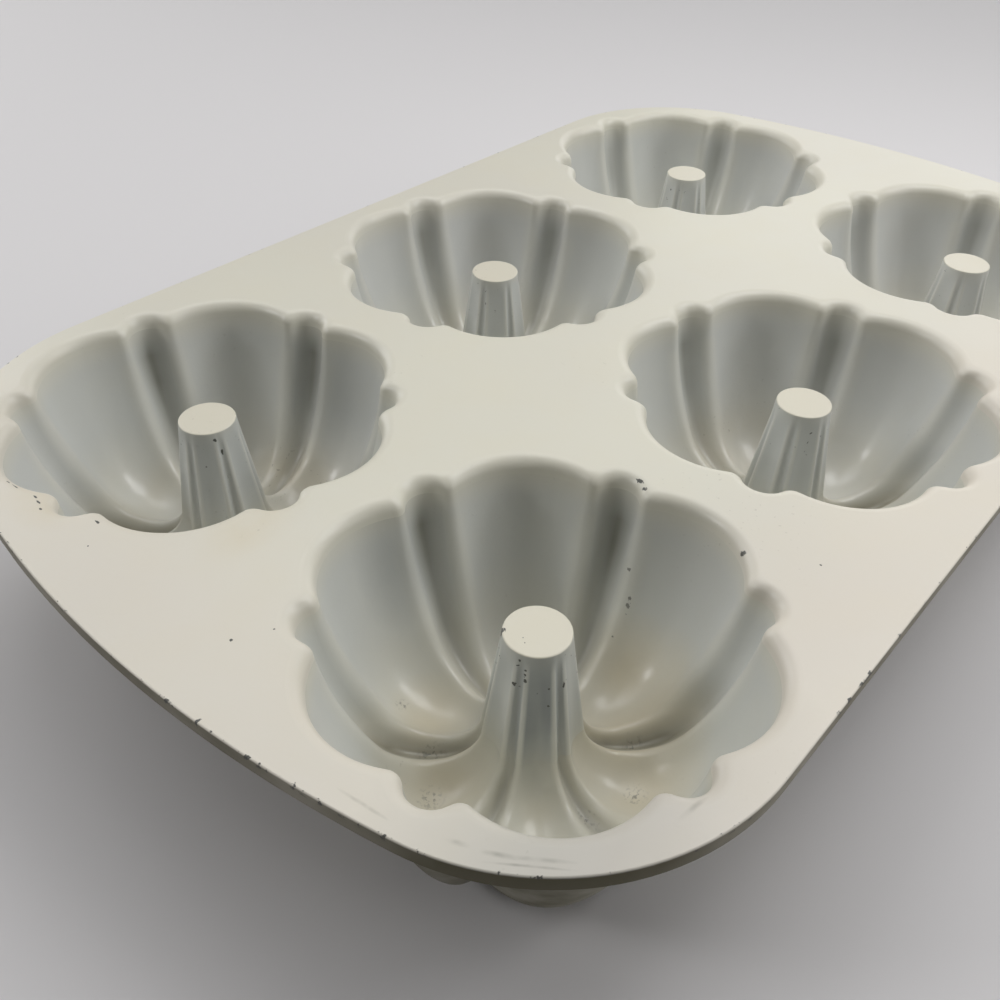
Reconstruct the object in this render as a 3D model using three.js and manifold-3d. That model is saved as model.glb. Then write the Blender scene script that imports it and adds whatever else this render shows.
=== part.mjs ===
// Mini fluted tube pan: six fluted cups, each with a tapered centre tube, hung from one flat deck.
// Millimetres, +Z up. The origin is on the table under the middle of the pan, +X along its long side.
import * as THREE from "three";
import { mergeVertices } from "three/addons/utils/BufferGeometryUtils.js";
import Module from "manifold-3d";

// How many cups, and how much deck is left between and around their lips
const COLUMNS = 3;
const ROWS = 2;
const LONG_WEB = 9.4;
const SHORT_WEB = 7.9;
const SIDE_BORDER = 5.4;
const END_BORDER = 12.1;
const END_BOW_RADIUS = 313;
const CORNER_RADIUS = 55.5;

// Deck plate: its thickness, the bevel on its outer edges and the rounding of the six lips
const DECK_THICKNESS = 4;
const EDGE_BEVEL = 0.7;
const LIP_ROUND = 2;
const LIP_SHARE = 0.95;

// Plan of a cup where it meets the deck: wide petals and narrow flutes, with rounded ridges between
const PETALS = 6;
const PETAL_REACH = 50;
const PETAL_ROUND = 21;
const FLUTE_STEP = 0.6;
const FLUTE_ROUND = 5.5;
const RIDGE_ROUND = 2.6;
const FIRST_FLUTE = THREE.MathUtils.degToRad(15);

// Section of a cup along a ridge, with depths taken from the deck's top
const WALL = 4;
const WALL_DRAFT = THREE.MathUtils.degToRad(8);
const RIDGE_DEPTH = 44.2;
const FLOOR_RADIUS = 20.8;
const FLOOR_ROUND = 15.5;
const FLOOR_LEAN = THREE.MathUtils.degToRad(30);
const WALL_FULLNESS = 1 / 3;
const FOOT_ROUND = 9.2;

// Centre tube: flat closed top, sunk below the deck, and hollow from underneath
const TUBE_TOP_RADIUS = 7.45;
const TUBE_DROP = 6;

// How far a petal is sunk below the ridges: on the floor, at the tube's foot and at its top
const FLOOR_SINK = 3.2;
const FOOT_SINK = 1.6;
const TOP_SINK = 0.1;

// Petal undersides are levelled off so that the pan stands flat
const STANDING_FLAT = 1.6;

// Coarseness of the model: points on each round of the plan, and steps along the section
const FLUTE_POINTS = [-0.7, 0, 0.7];
const PETAL_POINTS = [-0.5, 0, 0.5];
const WALL_STEPS = 2;
const FLOOR_STEPS = 2;
const FOOT_STEPS = 2;
const LIP_STEPS = 2;
const CORNER_STEPS = 8;
const BOW_STEPS = 6;

const QUARTER = Math.PI / 2;
const HEIGHT = RIDGE_DEPTH + FLOOR_SINK + WALL - STANDING_FLAT;
const SEAM = -DECK_THICKNESS;

const wasm = await Module();
wasm.setup();

const polar = (radius, angle) => new THREE.Vector2(radius * Math.cos(angle), radius * Math.sin(angle));

// The plan of a cup is made of three circles in each half period: flute, ridge and petal.
const HALF_PERIOD = Math.PI / PETALS;
const fluteCentre = polar(PETAL_REACH - FLUTE_STEP - FLUTE_ROUND, 0);
const petalCentre = polar(PETAL_REACH - PETAL_ROUND, HALF_PERIOD);
const ridgeCentre = touchingCircle(fluteCentre, FLUTE_ROUND, petalCentre, PETAL_ROUND, RIDGE_ROUND);
const crestReach = ridgeCentre.length() - RIDGE_ROUND;
const petalDepth = PETAL_REACH - crestReach;
const outline = cupOutline();

// The lip grows no further than its share of the ridge's own rounding, so that no ridge closes up.
const lipRun = Math.cos(WALL_DRAFT) - (1 - Math.sin(WALL_DRAFT)) * Math.tan(WALL_DRAFT);
const lipRoom = (LIP_SHARE * RIDGE_ROUND - DECK_THICKNESS * Math.tan(WALL_DRAFT)) / lipRun;
const lipRound = Math.min(LIP_ROUND, lipRoom);
const lip = lipSection();
const lipReach = PETAL_REACH + lip.at(-1).x;

const longPitch = 2 * lipReach + LONG_WEB;
const shortPitch = 2 * lipReach + SHORT_WEB;
const endCupX = (longPitch * (COLUMNS - 1)) / 2;
const endCupY = (shortPitch * (ROWS - 1)) / 2;

// Centre of a circle of the given radius that touches two others from outside, away from the axis
function touchingCircle(a, radiusA, b, radiusB, radius) {
  const along = b.clone().sub(a);
  const span = along.length();
  const reachA = radiusA + radius;
  const reachB = radiusB + radius;
  const foot = (reachA ** 2 - reachB ** 2 + span ** 2) / (2 * span);
  const rise = Math.sqrt(reachA ** 2 - foot ** 2);
  along.normalize();
  const across = new THREE.Vector2(along.y, -along.x);
  return a.clone().addScaledVector(along, foot).addScaledVector(across, rise);
}

// Distance from the axis to the far side of a circle, at an angle from the circle's centre
function farSide(centre, radius, angle) {
  const chord = radius ** 2 - (centre.length() * Math.sin(angle)) ** 2;
  return centre.length() * Math.cos(angle) + Math.sqrt(Math.max(chord, 0));
}

// Points round a cup's plan, each with its outward normal and its share of a petal's depth
function cupOutline() {
  const fluteSpan = ridgeCentre.clone().sub(fluteCentre).angle();
  const petalSpan = HALF_PERIOD - Math.atan2(ridgeCentre.y - petalCentre.y, ridgeCentre.x - petalCentre.x);
  const onCircle = (centre, radius, angle) => ({
    point: centre.clone().add(polar(radius, angle)),
    normal: polar(1, angle),
  });
  const toFlute = fluteSpan + Math.PI;
  const toPetal = HALF_PERIOD - petalSpan + Math.PI;
  const ridge = onCircle(ridgeCentre, RIDGE_ROUND, (toFlute + toPetal) / 2);
  ridge.normal.negate();
  const mirrored = (v) => polar(v.length(), 2 * HALF_PERIOD - v.angle());
  const period = [
    ...FLUTE_POINTS.map((share) => onCircle(fluteCentre, FLUTE_ROUND, share * fluteSpan)),
    ridge,
    ...PETAL_POINTS.map((share) => onCircle(petalCentre, PETAL_ROUND, HALF_PERIOD + share * petalSpan)),
    { point: mirrored(ridge.point), normal: mirrored(ridge.normal) },
  ];
  const axis = new THREE.Vector2();
  const points = [];
  for (let k = 0; k < PETALS; k++) {
    const turn = FIRST_FLUTE + 2 * k * HALF_PERIOD;
    for (const { point, normal } of period) {
      const angle = Math.atan2(point.y, point.x);
      const outside = Math.max(
        farSide(fluteCentre, FLUTE_ROUND + WALL, angle),
        farSide(fluteCentre, FLUTE_ROUND + WALL, 2 * HALF_PERIOD - angle),
        farSide(petalCentre, PETAL_ROUND + WALL, HALF_PERIOD - angle),
      );
      points.push({
        point: point.clone().rotateAround(axis, turn),
        normal: normal.clone().rotateAround(axis, turn),
        angle: angle + turn,
        relief: (point.length() - crestReach) / petalDepth,
        outerRelief: (outside - WALL - crestReach) / petalDepth,
      });
    }
  }
  return points;
}

// Section of the lip from the deck's underside up to its top: growth of the opening, and height
function lipSection() {
  const tangentDrop = lipRound * (1 - Math.sin(WALL_DRAFT));
  const tangentGrowth = (DECK_THICKNESS - tangentDrop) * Math.tan(WALL_DRAFT);
  const centre = new THREE.Vector2(tangentGrowth + lipRound * Math.cos(WALL_DRAFT), -lipRound);
  const section = [new THREE.Vector2(0, SEAM)];
  for (let i = 0; i <= LIP_STEPS; i++) {
    const angle = Math.PI - WALL_DRAFT - ((QUARTER - WALL_DRAFT) * i) / LIP_STEPS;
    section.push(centre.clone().add(polar(lipRound, angle)));
  }
  return section;
}

// Stations of the section along a ridge, from the deck's underside over the floor to the tube's top.
// Each has its place, the way in which petals sink from it, and how deep they sink.
function cupStations() {
  const floorCentre = new THREE.Vector2(FLOOR_RADIUS, FLOOR_ROUND - RIDGE_DEPTH);
  const footCentre = new THREE.Vector2(FLOOR_RADIUS, FOOT_ROUND - RIDGE_DEPTH);
  const wallTop = new THREE.Vector2(crestReach, SEAM);
  const wallEnd = floorCentre.clone().add(polar(FLOOR_ROUND, -FLOOR_LEAN));
  const handle = wallTop.distanceTo(wallEnd) * WALL_FULLNESS;
  const wall = new THREE.CubicBezierCurve(
    wallTop,
    wallTop.clone().add(polar(handle, -QUARTER - WALL_DRAFT)),
    wallEnd.clone().add(polar(handle, QUARTER - FLOOR_LEAN)),
    wallEnd,
  );
  const sinkWay = (lean) => polar(1, (-QUARTER * (lean - WALL_DRAFT)) / (QUARTER - WALL_DRAFT));
  const stations = [];
  for (let i = 0; i < WALL_STEPS; i++) {
    const tangent = wall.getTangent(i / WALL_STEPS);
    const lean = i ? Math.atan2(-tangent.x, -tangent.y) : WALL_DRAFT;
    stations.push({ at: wall.getPoint(i / WALL_STEPS), way: sinkWay(lean), sink: petalDepth });
  }
  for (let i = 0; i < FLOOR_STEPS; i++) {
    const share = i / FLOOR_STEPS;
    const lean = THREE.MathUtils.lerp(FLOOR_LEAN, QUARTER, share);
    const at = floorCentre.clone().add(polar(FLOOR_ROUND, -lean));
    stations.push({ at, way: sinkWay(lean), sink: THREE.MathUtils.lerp(petalDepth, FLOOR_SINK, share) });
  }
  const tubeTop = new THREE.Vector2(TUBE_TOP_RADIUS, -TUBE_DROP);
  const toTop = tubeTop.clone().sub(footCentre);
  const footEnd = Math.atan2(toTop.y, toTop.x) + Math.acos(FOOT_ROUND / toTop.length()) - 2 * Math.PI;
  for (let i = 0; i <= FOOT_STEPS; i++) {
    const share = i / FOOT_STEPS;
    const at = footCentre.clone().add(polar(FOOT_ROUND, THREE.MathUtils.lerp(-QUARTER, footEnd, share)));
    const way = polar(1, -QUARTER * (1 + share));
    stations.push({ at, way, sink: THREE.MathUtils.lerp(FLOOR_SINK, FOOT_SINK, share) });
  }
  stations.push({ at: tubeTop, way: polar(1, -2 * QUARTER), sink: TOP_SINK });
  return stations;
}

// A ring of points round the axis at one station, on the cup's own surface or a wall behind it
function ring(station, behind = 0, drop = 0) {
  return outline.map(({ angle, relief, outerRelief }) => {
    const depth = station.sink * (behind ? outerRelief : relief) + behind;
    const radius = station.at.x + station.way.x * depth;
    const height = HEIGHT + station.at.y + station.way.y * depth - drop;
    return new THREE.Vector3(radius * Math.cos(angle), radius * Math.sin(angle), height);
  });
}

// Skin over rings of equal count, either joined end to end or closed by a fan at each end
function loft(rings, joined) {
  const count = rings[0].length;
  const vertices = rings.flat();
  const triangles = [];
  const spans = joined ? rings.length : rings.length - 1;
  for (let k = 0; k < spans; k++) {
    const low = k * count;
    const high = ((k + 1) % rings.length) * count;
    for (let i = 0; i < count; i++) {
      const j = (i + 1) % count;
      triangles.push(low + i, low + j, high + j, low + i, high + j, high + i);
    }
  }
  if (!joined) {
    addFan(vertices, triangles, rings[0], 0, true);
    addFan(vertices, triangles, rings.at(-1), (rings.length - 1) * count, false);
  }
  return geometryFrom(vertices, triangles);
}

function addFan(vertices, triangles, points, first, reversed) {
  const middle = new THREE.Vector3();
  for (const point of points) {
    middle.addScaledVector(point, 1 / points.length);
  }
  const hub = vertices.push(middle) - 1;
  for (let i = 0; i < points.length; i++) {
    const a = first + i;
    const b = first + ((i + 1) % points.length);
    triangles.push(hub, reversed ? b : a, reversed ? a : b);
  }
}

function geometryFrom(vertices, triangles) {
  const geometry = new THREE.BufferGeometry().setFromPoints(vertices);
  return geometry.setIndex(triangles);
}

function solidFrom(geometry) {
  const bare = geometry.clone();
  bare.deleteAttribute("normal");
  bare.deleteAttribute("uv");
  const merged = mergeVertices(bare);
  const vertProperties = merged.attributes.position.array;
  const triVerts = new Uint32Array(merged.index.array);
  return new wasm.Manifold(new wasm.Mesh({ numProp: 3, vertProperties, triVerts }));
}

function geometryOf(solid) {
  const mesh = solid.getMesh();
  const geometry = new THREE.BufferGeometry();
  geometry.setAttribute("position", new THREE.BufferAttribute(mesh.vertProperties, 3));
  return geometry.setIndex(new THREE.BufferAttribute(mesh.triVerts, 1));
}

// Cup shell: an open ring-shaped trough, with its rim under the deck and its collar under the tube
function cupGeometry(stations) {
  const inside = stations.map((station) => ring(station));
  const outside = stations.map((station) => ring(station, WALL)).reverse();
  const shell = solidFrom(loft([...inside, ...outside], true));
  const side = 2 * (PETAL_REACH + 2 * WALL);
  const table = new THREE.BoxGeometry(side, side, HEIGHT).translate(0, 0, -HEIGHT / 2);
  return geometryOf(shell.subtract(solidFrom(table)));
}

// Centre tube: a tapered thimble that stands on the cup's collar
function tubeGeometry(foot, top) {
  return loft([ring(top, WALL, WALL), ring(foot, WALL), ring(foot), ring(top)], false);
}

// Outer edge of the deck, drawn in by an inset: long sides straight, corners round, short ends bowed
function deckOutline(inset) {
  const bow = END_BOW_RADIUS - inset;
  const round = CORNER_RADIUS - inset;
  const bowX = endCupX + lipReach + END_BORDER - END_BOW_RADIUS;
  const roundY = endCupY + lipReach + SIDE_BORDER - CORNER_RADIUS;
  const swing = Math.asin(roundY / (bow - round));
  const roundX = bowX + (bow - round) * Math.cos(swing);
  const bowed = new THREE.EllipseCurve(bowX, 0, bow, bow, -swing, swing).getPoints(BOW_STEPS);
  const cornerArc = new THREE.EllipseCurve(roundX, roundY, round, round, swing, QUARTER);
  const corner = cornerArc.getPoints(CORNER_STEPS);
  const farCorner = corner.map((p) => new THREE.Vector2(-p.x, p.y)).reverse();
  const half = [...bowed.slice(0, -1), ...corner, ...farCorner.slice(0, -1)];
  return [...half, ...half.map((p) => p.clone().negate())];
}

// Deck plate: outer edge and six lips, closed by a flat top and a flat underside
function deckGeometry(places) {
  const edge = [
    [EDGE_BEVEL, SEAM],
    [0, SEAM + EDGE_BEVEL],
    [0, -EDGE_BEVEL],
    [EDGE_BEVEL, 0],
  ].map(([inset, height]) => deckOutline(inset).map((p) => new THREE.Vector3(p.x, p.y, HEIGHT + height)));
  const openings = places.map(({ x, y }) =>
    lip.map(({ x: growth, y: height }) =>
      outline.map(({ point, normal }) => {
        const grown = point.clone().addScaledVector(normal, growth);
        return new THREE.Vector3(x + grown.x, y + grown.y, HEIGHT + height);
      }),
    ),
  );
  const vertices = [];
  const triangles = [];
  const firstOf = new Map();
  for (const rings of [edge, ...openings]) {
    for (const points of rings) {
      firstOf.set(points, vertices.length);
      vertices.push(...points);
    }
  }
  const skin = (rings, reversed) => {
    for (let k = 0; k + 1 < rings.length; k++) {
      const low = firstOf.get(rings[reversed ? k + 1 : k]);
      const high = firstOf.get(rings[reversed ? k : k + 1]);
      const count = rings[k].length;
      for (let i = 0; i < count; i++) {
        const j = (i + 1) % count;
        triangles.push(low + i, low + j, high + j, low + i, high + j, high + i);
      }
    }
  };
  const face = (level, up) => {
    const loops = [edge, ...openings].map((rings) => rings.at(level));
    const flat = loops.map((points) => points.map((p) => new THREE.Vector2(p.x, p.y)));
    const index = loops.flatMap((points) => points.map((_, i) => firstOf.get(points) + i));
    for (const [a, b, c] of THREE.ShapeUtils.triangulateShape(flat[0], flat.slice(1))) {
      triangles.push(index[a], index[up ? b : c], index[up ? c : b]);
    }
  };
  skin(edge, false);
  openings.forEach((rings) => skin(rings, true));
  face(0, false);
  face(-1, true);
  return geometryFrom(vertices, triangles);
}

const pan = new THREE.Group();

function addPiece(name, geometry, material, place) {
  const mesh = new THREE.Mesh(geometry, material);
  mesh.name = name;
  mesh.position.set(place.x, place.y, 0);
  pan.add(mesh);
}

const deckCoat = new THREE.MeshStandardMaterial({ color: 0xd9d3c4, roughness: 0.55, metalness: 0 });
const cupCoat = new THREE.MeshStandardMaterial({ color: 0xcdcdc4, roughness: 0.5, metalness: 0 });
const tubeCoat = new THREE.MeshStandardMaterial({ color: 0xbdc1c2, roughness: 0.45, metalness: 0.1 });

const places = [];
for (let row = 0; row < ROWS; row++) {
  for (let column = 0; column < COLUMNS; column++) {
    const label = String.fromCharCode("a".charCodeAt(0) + row) + (column + 1);
    places.push({ label, x: column * longPitch - endCupX, y: row * shortPitch - endCupY });
  }
}

const stations = cupStations();
const tubeTop = stations.at(-1);
const tubeFoot = stations.at(-2);
addPiece("deck_plate", deckGeometry(places), deckCoat, { x: 0, y: 0 });
for (const place of places) {
  addPiece("fluted_cup_" + place.label, cupGeometry(stations.slice(0, -1)), cupCoat, place);
  addPiece("centre_tube_" + place.label, tubeGeometry(tubeFoot, tubeTop), tubeCoat, place);
}

export default pan;
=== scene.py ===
"""Looks of the mini fluted tube pan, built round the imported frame. Metres, +Z up."""

import math

import bpy
import numpy as np
from mathutils import Matrix, Vector
from mathutils.geometry import tessellate_polygon


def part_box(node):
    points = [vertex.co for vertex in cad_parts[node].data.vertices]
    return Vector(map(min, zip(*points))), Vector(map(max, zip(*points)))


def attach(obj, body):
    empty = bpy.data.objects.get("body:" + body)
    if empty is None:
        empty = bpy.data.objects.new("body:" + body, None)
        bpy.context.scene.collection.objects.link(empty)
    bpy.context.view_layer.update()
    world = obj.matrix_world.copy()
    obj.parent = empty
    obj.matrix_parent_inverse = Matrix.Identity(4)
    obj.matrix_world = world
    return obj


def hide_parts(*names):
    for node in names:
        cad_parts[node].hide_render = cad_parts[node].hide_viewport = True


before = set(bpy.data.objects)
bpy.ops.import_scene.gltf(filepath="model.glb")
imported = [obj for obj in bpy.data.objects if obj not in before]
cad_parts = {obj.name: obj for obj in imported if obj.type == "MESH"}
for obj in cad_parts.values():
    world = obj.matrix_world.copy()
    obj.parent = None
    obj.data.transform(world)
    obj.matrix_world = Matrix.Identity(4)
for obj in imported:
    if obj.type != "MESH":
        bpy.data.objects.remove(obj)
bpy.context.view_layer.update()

# Fluted cups
# Six deep ring-shaped cups of cast aluminium under a baked cream coat, cast in one with the deck.
# One rule shapes them all: a ridge section swept round, with petals and flutes sunk below it.
MM = 0.001
QUARTER = math.pi / 2
DECK_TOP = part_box("deck_plate")[1].z
DECK_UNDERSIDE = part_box("deck_plate")[0].z
TUBE_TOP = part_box("centre_tube_a1")[1].z
CUP_SIZES = {
    "Petals": 6,
    "Petal Reach": 50 * MM,
    "Petal Round": 21 * MM,
    "Flute Step": 0.6 * MM,
    "Flute Round": 5.5 * MM,
    "Ridge Round": 2.6 * MM,
    "Floor Ridge Round": 7 * MM,
    "First Flute": math.radians(15),
    "Wall": 4 * MM,
    "Groove Round": 1.5 * MM,
    "Wall Draft": math.radians(8),
    "Wall Fullness": 1 / 3,
    "Ridge Depth": 44.2 * MM,
    "Floor Radius": 20.8 * MM,
    "Floor Round": 15.5 * MM,
    "Floor Lean": math.radians(30),
    "Foot Round": 9.2 * MM,
    "Tube Top Radius": 7.45 * MM,
    "Tube Drop": 6 * MM,
    "Floor Sink": 3.2 * MM,
    "Foot Sink": 1.6 * MM,
    "Root Round": 2.5 * MM,
    "Deck Top": DECK_TOP,
    "Deck Thickness": DECK_TOP - DECK_UNDERSIDE,
}
AROUND = 264
ALONG = 44
FLUTE_SHARE, RIDGE_SHARE = 0.28, 0.3
WALL_SHARE, FLOOR_SHARE = 0.5, 0.25
ROW_CROWDING = 1.4
MERGE_DISTANCE = 0.001 * MM
FRONT_PETAL = math.radians(45)
FACING_SPAN = (0.2, 0.7)
SIDE_FLUTE_SHADE = 0.25
FLOOR_START = (0.46, 0.62)
FLOOR_END = (0.8, 0.95)


class Field:
    """A number in a node tree. Arithmetic on it adds Math nodes to that tree."""

    def __init__(self, tree, socket):
        self.tree = tree
        self.socket = socket

    def __add__(self, other):
        return calc("ADD", self, other)

    def __radd__(self, other):
        return calc("ADD", other, self)

    def __sub__(self, other):
        return calc("SUBTRACT", self, other)

    def __rsub__(self, other):
        return calc("SUBTRACT", other, self)

    def __mul__(self, other):
        return calc("MULTIPLY", self, other)

    def __rmul__(self, other):
        return calc("MULTIPLY", other, self)

    def __truediv__(self, other):
        return calc("DIVIDE", self, other)

    def __rtruediv__(self, other):
        return calc("DIVIDE", other, self)

    def __neg__(self):
        return calc("MULTIPLY", self, -1)


def add_node(tree, kind, inputs=None, **settings):
    """Adds a node. A named or numbered input takes a field, another node's socket or a plain value."""
    node = tree.nodes.new(kind)
    for name, value in settings.items():
        setattr(node, name, value)
    for place, value in (inputs or {}).items():
        if isinstance(value, Field):
            tree.links.new(value.socket, node.inputs[place])
        elif isinstance(value, bpy.types.NodeSocket):
            tree.links.new(value, node.inputs[place])
        else:
            node.inputs[place].default_value = value
    return node


def calc(operation, *values):
    """A Math node on fields and plain numbers."""
    tree = next(value.tree for value in values if isinstance(value, Field))
    node = add_node(tree, "ShaderNodeMath", dict(enumerate(values)), operation=operation)
    return Field(tree, node.outputs[0])


def ramp(value, low, high, start=0.0, end=1.0, kind="LINEAR"):
    """Runs from start to end as value goes from low to high, and is level outside them."""
    ends = {"Value": value, "From Min": low, "From Max": high, "To Min": start, "To Max": end}
    node = add_node(value.tree, "ShaderNodeMapRange", ends, interpolation_type=kind)
    return Field(value.tree, node.outputs["Result"])


def choose(test, yes, no):
    """yes where test is 1, and no where it is 0."""
    return test * yes + (1 - test) * no


def squares(x, y):
    """Sum of two squares."""
    return x * x + y * y


def circle_side(reach, angle, far):
    """Distance from the axis to a circle's far or near side; reach is its centre's distance and radius."""
    distance, radius = reach
    chord = calc("SQRT", radius * radius - calc("POWER", distance * calc("SINE", angle), 2))
    along = distance * calc("COSINE", angle)
    return along + chord if far else along - chord


def cup_plan(size, around):
    """Angle round the axis and share of a petal's depth, inside and outside, at a place from 0 to 1."""
    half = math.pi / size["Petals"]
    flute_x = size["Petal Reach"] - size["Flute Step"] - size["Flute Round"]
    petal_distance = size["Petal Reach"] - size["Petal Round"]
    petal_x = petal_distance * calc("COSINE", half)
    petal_y = petal_distance * calc("SINE", half)
    span = calc("SQRT", squares(petal_x - flute_x, petal_y))
    to_flute = size["Flute Round"] + size["Ridge Round"]
    to_petal = size["Petal Round"] + size["Ridge Round"]
    foot = (to_flute * to_flute - to_petal * to_petal + span * span) / (2 * span)
    rise = calc("SQRT", to_flute * to_flute - foot * foot)
    along_x = (petal_x - flute_x) / span
    along_y = petal_y / span
    ridge_x = flute_x + along_x * foot + along_y * rise
    ridge_y = along_y * foot - along_x * rise
    ridge_distance = calc("SQRT", squares(ridge_x, ridge_y))
    ridge_angle = calc("ARCTAN2", ridge_y, ridge_x)
    crest = ridge_distance - size["Ridge Round"]
    depth = size["Petal Reach"] - crest

    flute_part = size["Flute Round"] / to_flute
    petal_part = size["Petal Round"] / to_petal
    flute_edge = calc("ARCTAN2", ridge_y * flute_part, flute_x + (ridge_x - flute_x) * flute_part)
    petal_edge_y = petal_y + (ridge_y - petal_y) * petal_part
    petal_edge_x = petal_x + (ridge_x - petal_x) * petal_part
    petal_edge = calc("ARCTAN2", petal_edge_y, petal_edge_x)

    place = around * size["Petals"] * 2
    share = calc("PINGPONG", place, 1)
    second_half = calc("FLOOR", calc("MODULO", place, 2))
    period = calc("FLOOR", place / 2) + second_half
    ridge_end = FLUTE_SHARE + RIDGE_SHARE
    angle = (
        ramp(share, 0, FLUTE_SHARE) * flute_edge
        + ramp(share, FLUTE_SHARE, ridge_end) * (petal_edge - flute_edge)
        + ramp(share, ridge_end, 1) * (half - petal_edge)
    )
    turn = size["First Flute"] + period * half * 2 + angle * (1 - 2 * second_half)

    flute = circle_side((flute_x, size["Flute Round"]), angle, True)
    ridge = circle_side((ridge_distance, size["Ridge Round"]), angle - ridge_angle, False)
    petal = circle_side((petal_distance, size["Petal Round"]), half - angle, True)
    on_flute = calc("LESS_THAN", share, FLUTE_SHARE)
    on_petal = calc("GREATER_THAN", share, ridge_end)
    reach = choose(on_flute, flute, choose(on_petal, petal, ridge))
    outer_flute = circle_side((flute_x, size["Flute Round"] + size["Wall"]), angle, True)
    outer_petal = circle_side((petal_distance, size["Petal Round"] + size["Wall"]), half - angle, True)
    outer_reach = calc("SMOOTH_MAX", outer_flute, outer_petal, size["Groove Round"]) - size["Wall"]
    fluted = ramp(share, 0, FLUTE_SHARE + 0.5 * RIDGE_SHARE, 1, 0)
    return turn, (reach - crest) / depth, (outer_reach - crest) / depth, fluted, crest, depth


def cup_section(size, crest, depth, along):
    """Place on the ridge section, from the deck's underside over the floor to the tube's foot.
    Returns radius, height below the deck, the way in which petals sink there, and how deep."""
    tree = along.tree
    floor_z = size["Floor Round"] - size["Ridge Depth"]
    foot_z = size["Foot Round"] - size["Ridge Depth"]
    lean, draft = size["Floor Lean"], size["Wall Draft"]
    top_x, top_z = crest, -size["Deck Thickness"]
    end_x = size["Floor Radius"] + size["Floor Round"] * calc("COSINE", lean)
    end_z = floor_z - size["Floor Round"] * calc("SINE", lean)
    handle = calc("SQRT", squares(top_x - end_x, top_z - end_z)) * size["Wall Fullness"]

    def point(x, z):
        return add_node(tree, "ShaderNodeCombineXYZ", {"X": x, "Z": z}).outputs[0]

    wall = add_node(tree, "GeometryNodeCurvePrimitiveBezierSegment", {
        "Resolution": 4 * ALONG,
        "Start": point(top_x, top_z),
        "Start Handle": point(top_x - handle * calc("SINE", draft), top_z - handle * calc("COSINE", draft)),
        "End Handle": point(end_x + handle * calc("SINE", lean), end_z + handle * calc("COSINE", lean)),
        "End": point(end_x, end_z),
    })
    wall_share = calc("POWER", ramp(along, 0, WALL_SHARE), ROW_CROWDING)
    sample = add_node(
        tree, "GeometryNodeSampleCurve", {"Curves": wall.outputs[0], "Factor": wall_share}, mode="FACTOR"
    )

    def parts(vector):
        split = add_node(tree, "ShaderNodeSeparateXYZ", {0: vector})
        return Field(tree, split.outputs["X"]), Field(tree, split.outputs["Z"])

    wall_x, wall_z = parts(sample.outputs["Position"])
    tangent_x, tangent_z = parts(sample.outputs["Tangent"])

    floor_share = ramp(along, WALL_SHARE, WALL_SHARE + FLOOR_SHARE)
    floor_lean = lean + (QUARTER - lean) * floor_share
    floor_x = size["Floor Radius"] + size["Floor Round"] * calc("COSINE", floor_lean)
    floor_height = floor_z - size["Floor Round"] * calc("SINE", floor_lean)

    foot_share = ramp(along, WALL_SHARE + FLOOR_SHARE, 1)
    to_top_x = size["Tube Top Radius"] - size["Floor Radius"]
    to_top_z = -size["Tube Drop"] - foot_z
    to_top = calc("SQRT", squares(to_top_x, to_top_z))
    foot_end = calc("ARCTAN2", to_top_z, to_top_x) + calc("ARCCOSINE", size["Foot Round"] / to_top)
    foot_angle = (foot_end - 2 * math.pi + QUARTER) * foot_share - QUARTER
    foot_x = size["Floor Radius"] + size["Foot Round"] * calc("COSINE", foot_angle)
    foot_height = foot_z + size["Foot Round"] * calc("SINE", foot_angle)

    on_wall = calc("LESS_THAN", along, WALL_SHARE)
    on_foot = calc("GREATER_THAN", along, WALL_SHARE + FLOOR_SHARE)
    wall_lean = calc("ARCTAN2", -tangent_x, -tangent_z)
    slope = choose(on_wall, wall_lean, floor_lean)
    outward = -QUARTER * (slope - draft) / (QUARTER - draft)
    way = choose(on_foot, -QUARTER * (1 + foot_share), outward)
    floor_sink = depth + (size["Floor Sink"] - depth) * floor_share
    foot_sink = size["Floor Sink"] + (size["Foot Sink"] - size["Floor Sink"]) * foot_share
    sink = choose(on_foot, foot_sink, floor_sink)
    radius = choose(on_wall, wall_x, choose(on_foot, foot_x, floor_x))
    height = choose(on_wall, wall_z, choose(on_foot, foot_height, floor_height))
    return radius, height, way, sink


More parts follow.
